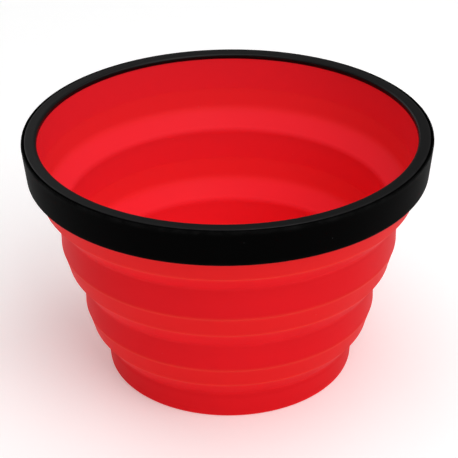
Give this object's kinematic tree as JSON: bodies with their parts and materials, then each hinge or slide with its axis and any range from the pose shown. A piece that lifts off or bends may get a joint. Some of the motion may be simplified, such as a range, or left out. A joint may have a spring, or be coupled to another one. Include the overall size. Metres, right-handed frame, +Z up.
{
  "type": "collapsible cup",
  "caption": "Wide stepped silicone travel cup on a flat floor, with a stiff black rim; three folds let the rim sink until the cup lies nearly flat.",
  "frame": {"origin": "centre of the underside, on the surface the cup stands on", "axes": "+Z up along the cup's axis, from the floor to the lip; the cup is round, so X and Y are free"},
  "size_m": [0.096, 0.096, 0.0604],
  "materials": {
    "silicone": "satin",
    "rim_nylon": "matte"
  },
  "bodies": {
    "foot": {"standing_ring": "silicone", "floor_disc": "silicone", "foot_band": "silicone", "lower_fold_web": "silicone"},
    "lower_step": {"lower_band": "silicone", "middle_fold_web": "silicone"},
    "middle_step": {"middle_band": "silicone", "upper_fold_web": "silicone"},
    "rim": {"rim_collar": "silicone", "rim_band": "rim_nylon", "rim_top_ring": "rim_nylon"}
  },
  "joints": [
    {"name": "lower_fold", "type": "slide", "parent": "foot", "child": "lower_step", "axis": [0, 0, -1], "range_m": [0, 0.0128], "deforming": ["lower_fold_web"]},
    {"name": "middle_fold", "type": "slide", "parent": "lower_step", "child": "middle_step", "axis": [0, 0, -1], "range_m": [0, 0.0128], "deforming": ["middle_fold_web"]},
    {"name": "upper_fold", "type": "slide", "parent": "middle_step", "child": "rim", "axis": [0, 0, -1], "range_m": [0, 0.0128], "deforming": ["upper_fold_web"]}
  ]
}
